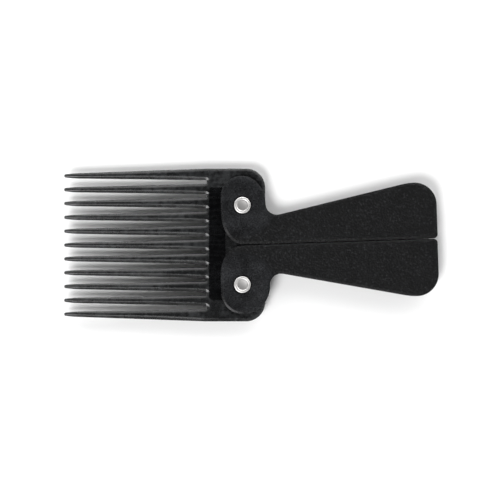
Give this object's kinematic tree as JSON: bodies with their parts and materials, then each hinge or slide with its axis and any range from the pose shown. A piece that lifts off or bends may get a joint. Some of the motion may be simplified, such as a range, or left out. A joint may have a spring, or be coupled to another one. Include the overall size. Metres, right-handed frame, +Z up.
{
  "type": "folding afro comb",
  "caption": "Wide flat comb head with long straight tapering teeth, hinged on two rivets to a pair of slim channel handles that fold over the teeth.",
  "frame": {"origin": "middle of the open comb's footprint, on the surface it lies on", "axes": "-X towards the tooth points, +X towards the handle ends, +Z up through the rivets' dished heads"},
  "size_m": [0.1872, 0.0764, 0.01],
  "materials": {
    "head_plastic": "polished black moulding",
    "handle_plastic": "black, fine pebble grain",
    "rivet_metal": "bright nickel plate"
  },
  "bodies": {
    "head": {"comb_head": "head_plastic", "right_rivet": "rivet_metal", "left_rivet": "rivet_metal"},
    "right_handle": {"right_handle": "handle_plastic"},
    "left_handle": {"left_handle": "handle_plastic"}
  },
  "joints": [
    {"name": "right_hinge", "type": "hinge", "parent": "head", "child": "right_handle", "pos_m": [-0.0042, 0.01978, 0.005], "axis": [0, 0, 1], "range_deg": [0, 178.06]},
    {"name": "left_hinge", "type": "hinge", "parent": "head", "child": "left_handle", "pos_m": [-0.0042, -0.01978, 0.005], "axis": [0, 0, -1], "range_deg": [0, 181.94]}
  ]
}
